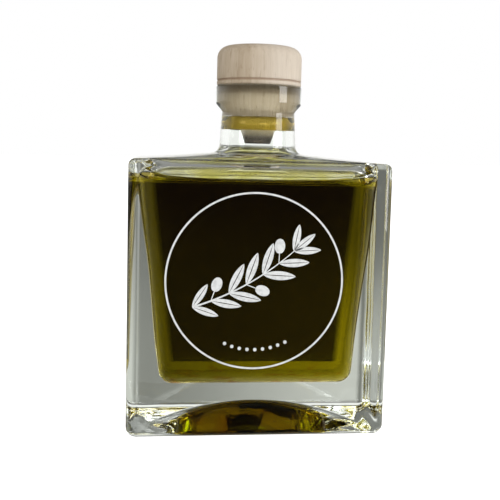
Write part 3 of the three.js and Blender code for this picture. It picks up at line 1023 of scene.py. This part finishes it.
def plug_material(grain):
    """Tan shank, with painted shade under the head, painted light on its cone, and darker towards its tip.
    """
    material, tree, shader = new_material("stopper_shank_tan")
    colour = grained(tree, shader, grain, **SHANK)
    height = height_mm(tree)
    # Painted shade under the head
    shade_low, shade_high = (LIP_TOP_Z - drop for drop in UNDER_HEAD_SHADE_DROP)
    under_head_shade = ramped(tree, height, shade_low, shade_high, 0.0, 0.6)
    colour = blend(tree, under_head_shade, colour, UNDER_HEAD_SHADE_COLOUR)
    # Painted light on the cone
    cone_light = ramped(tree, height, PLUG_CONE_TOP_Z - CONE_LIGHT_FADE, PLUG_CONE_TOP_Z, 0.85, 0.0)
    colour = blend(tree, cone_light, colour, CONE_LIGHT_COLOUR)
    # Darker towards the tip
    tip_dark = ramped(tree, height, PLUG_TIP_Z + TIP_DARK_FROM, PLUG_CONE_FOOT_Z + TIP_DARK_TO, 0.97, 0.0)
    value_or_link(tree, shader.inputs["Base Color"], blend(tree, tip_dark, colour, TIP_DARK_COLOUR))
    return material


def print_material():
    """Screen-printed enamel, a little uneven."""
    material, tree, shader = new_material("white_enamel")
    uneven = cloud(tree, scale=900.0, detail=3.0)
    colour = blend(tree, ramped(tree, uneven, 0.35, 0.75), ENAMEL_WHITE, ENAMEL_GREY)
    value_or_link(tree, shader.inputs["Base Color"], colour)
    shader.inputs["Roughness"].default_value = 0.45
    relief(tree, shader, uneven, depth_mm=0.02)
    return material


# Stage

def camera():
    data = bpy.data.cameras.new("camera")
    data.sensor_width = SENSOR
    data.lens = FOCAL_PIXELS / PHOTO_PIXELS * SENSOR
    data.clip_start = 0.01
    data.shift_x = 0.5 - CAMERA_CENTRE[0] / PHOTO_PIXELS
    data.shift_y = CAMERA_CENTRE[1] / PHOTO_PIXELS - 0.5
    yaw, pitch, roll = (math.radians(a) for a in (CAMERA_YAW, CAMERA_PITCH, CAMERA_ROLL))
    ahead = Vector((math.sin(yaw) * math.cos(pitch), math.cos(yaw) * math.cos(pitch), math.sin(pitch)))
    level = Vector((math.cos(yaw), -math.sin(yaw), 0))
    up = level.cross(ahead)
    right = math.cos(roll) * level + math.sin(roll) * up
    top = -math.sin(roll) * level + math.cos(roll) * up
    holder = bpy.data.objects.new("camera", data)
    turn = Matrix((right, top, -ahead)).transposed().to_4x4()
    holder.matrix_world = Matrix.Translation(Vector(CAMERA_PLACE) * MM) @ turn
    bpy.context.scene.collection.objects.link(holder)
    bpy.context.scene.camera = holder


def sheet(name, corners, material):
    mesh = bpy.data.meshes.new(name)
    mesh.from_pydata(corners, [], [(0, 1, 2, 3)])
    mesh.materials.append(material)
    piece = bpy.data.objects.new(name, mesh)
    bpy.context.scene.collection.objects.link(piece)
    return piece


def floor():
    material, tree, shader = new_material("pale_floor")
    shader.inputs["Base Color"].default_value = (0.9, 0.9, 0.9, 1)
    shader.inputs["Roughness"].default_value = 0.9
    shader.inputs["Emission Color"].default_value = (*WHITE, 1)
    seen = tree.nodes.new("ShaderNodeLightPath").outputs["Is Camera Ray"]
    bridge(tree, ramped(tree, seen, 0.0, 1.0, *FLOOR_GLOW), shader.inputs["Emission Strength"])
    corners = [(x * FLOOR_HALF, y * FLOOR_HALF, 0) for x, y in ((-1, -1), (1, -1), (1, 1), (-1, 1))]
    piece = sheet("pale_floor", corners, material)
    piece.visible_glossy = False
    piece.visible_transmission = False


def painted_shade_card():
    """Painted shade: a dark glowing sheet behind the bottle that shows only through the oil and the glass,
    and darkens the middle of the oil.
    """
    material, tree, shader = new_material("painted_shade_card")
    shader.inputs["Base Color"].default_value = (0, 0, 0, 1)
    shader.inputs["Emission Strength"].default_value = 1.0
    x, z = place_mm(tree, "X"), height_mm(tree)
    inward = []
    for side, foot_x, top_x in zip((1, -1), CARD_FOOT_X, CARD_TOP_X):
        slope = (top_x - foot_x) / (CARD_TOP_Z - CARD_FOOT_Z)
        edge = calculate(tree, "MULTIPLY_ADD", z, slope, foot_x - slope * CARD_FOOT_Z)
        inward.append(calculate(tree, "MULTIPLY", calculate(tree, "SUBTRACT", x, edge), side))
    from_sides = calculate(tree, "MINIMUM", *inward)
    bridge(tree, ramped(tree, from_sides, 0.0, CARD_FEATHER), shader.inputs["Alpha"])
    # The sheet's glow is painted shade: darker towards its top, a little lighter on the right.
    lower = blend(tree, ramped(tree, x, *CARD_SIDEWAYS), CARD_SHADE_LOW_LEFT, CARD_SHADE_LOW_RIGHT)
    colour = blend(tree, ramped(tree, z, CARD_DARKER_FROM_Z, CARD_TOP_Z), lower, CARD_SHADE_HIGH)
    bridge(tree, colour, shader.inputs["Emission Color"])
    edges = [(x, CARD_FOOT_Z) for x in CARD_FOOT_X] + [(x, CARD_TOP_Z) for x in reversed(CARD_TOP_X)]
    y = HALF_DEPTH + CARD_GAP
    card = sheet("painted_shade_card", [(x * MM, y * MM, z * MM) for x, z in edges], material)
    card.visible_camera = False
    card.visible_glossy = False
    card.visible_diffuse = False
    card.visible_shadow = False


def softbox(name, place, size, power, mirrored=False):
    data = bpy.data.lights.new(name, "AREA")
    data.shape = "RECTANGLE"
    data.size, data.size_y = size
    data.energy = power
    light = bpy.data.objects.new(name, data)
    turn = (Vector(SOFTBOX_AIM) - Vector(place)).to_track_quat("-Z", "Y").to_matrix().to_4x4()
    light.matrix_world = Matrix.Translation(Vector(place)) @ turn
    bpy.context.scene.collection.objects.link(light)
    light.visible_camera = False
    light.visible_glossy = mirrored


def studio():
    """The world as glass shows it, as it mirrors it, as it lights the rest and as the camera sees it."""
    world = bpy.data.worlds.new("studio")
    bpy.context.scene.world = world
    world.use_nodes = True
    tree = world.node_tree
    tree.nodes.clear()
    out = tree.nodes.new("ShaderNodeOutputWorld")
    where = tree.nodes.new("ShaderNodeTexCoord")
    axes = tree.nodes.new("ShaderNodeSeparateXYZ")
    bridge(tree, where.outputs["Generated"], axes.inputs[0])

    def ramp(axis, low, high):
        return ramped(tree, axes.outputs[axis], low, high)

    rays = tree.nodes.new("ShaderNodeLightPath").outputs
    table = blend(tree, ramp("X", -0.06, 0.26), TABLE_MIDDLE, TABLE_RIGHT)
    table = blend(tree, ramp("X", -0.3, -0.1), TABLE_LEFT, table)
    middle = calculate(tree, "SUBTRACT", ramp("X", 0.02, 0.1), ramp("X", 0.2, 0.3))
    horizon = blend(tree, middle, HORIZON_SIDES, HORIZON_MIDDLE)
    below = blend(tree, ramp("Z", -0.26, -0.1), table, horizon)
    upper = blend(tree, middle, UPPER_SIDES, UPPER_MIDDLE)
    panel = blend(tree, ramp("Z", 0.12, 0.24), BACK_PANEL, upper)
    behind = blend(tree, ramp("Z", -0.06, -0.015), below, panel)
    above = blend(tree, ramp("Z", 0.45, 0.8), behind, OVERHEAD)
    front = blend(tree, ramp("Z", 0.3, 0.7), FRONT, FRONT_OVERHEAD)
    through = blend(tree, ramp("Y", -0.3, -0.05), front, above)
    mirrored = blend(tree, ramp("Y", -0.35, 0.5), MIRRORED_FRONT, behind)
    mirrored = blend(tree, ramp("Z", 0.35, 0.9), mirrored, MIRRORED_OVERHEAD)
    clear = blend(tree, rays["Is Transmission Ray"], mirrored, through)
    lit = blend(tree, rays["Is Diffuse Ray"], clear, FILL_LIGHT)
    seen = blend(tree, rays["Is Camera Ray"], lit, WHITE)
    shade = tree.nodes.new("ShaderNodeBackground")
    bridge(tree, seen, shade.inputs["Color"])
    bridge(tree, shade.outputs[0], out.inputs["Surface"])
    softbox("right_softbox", (0.55, -0.28, 0.22), SOFTBOX_SIZE, power=2.2, mirrored=True)
    softbox("left_softbox", (-0.6, -0.3, 0.25), SOFTBOX_SIZE, power=1.2)
    softbox("front_softbox", (0.2, -0.75, 0.5), FRONT_SOFTBOX_SIZE, power=2.5)
    scene = bpy.context.scene
    scene.view_settings.view_transform = "Standard"
    scene.cycles.max_bounces = 32
    scene.cycles.transmission_bounces = 32
    scene.cycles.glossy_bounces = 16
    scene.cycles.use_denoising = True
    scene.cycles.sample_clamp_indirect = 8.0


def carry(piece, slot, *nodes):
    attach(piece, "root")
    if nodes:
        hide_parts(*nodes)


def main():
    oil = oil_on_glass()
    grain = upright_grain()
    carry(bottle_glass(clear_glass(), wetted_glass(), film_and_reflection_glass()), "clear_glass", "bottle_glass")
    carry(olive_oil(oil, oil_surface()), "olive_oil", "olive_oil")
    carry(neck_oil_ring(oil), "olive_oil", "neck_oil_ring")
    carry(stopper_plug(plug_material(grain)), "plug", "stopper_plug")
    carry(stopper_head(wood_material(grain)), "wood", "stopper_head")
    carry(front_print(print_material()), "white_print")
    camera()
    floor()
    painted_shade_card()
    studio()


main()
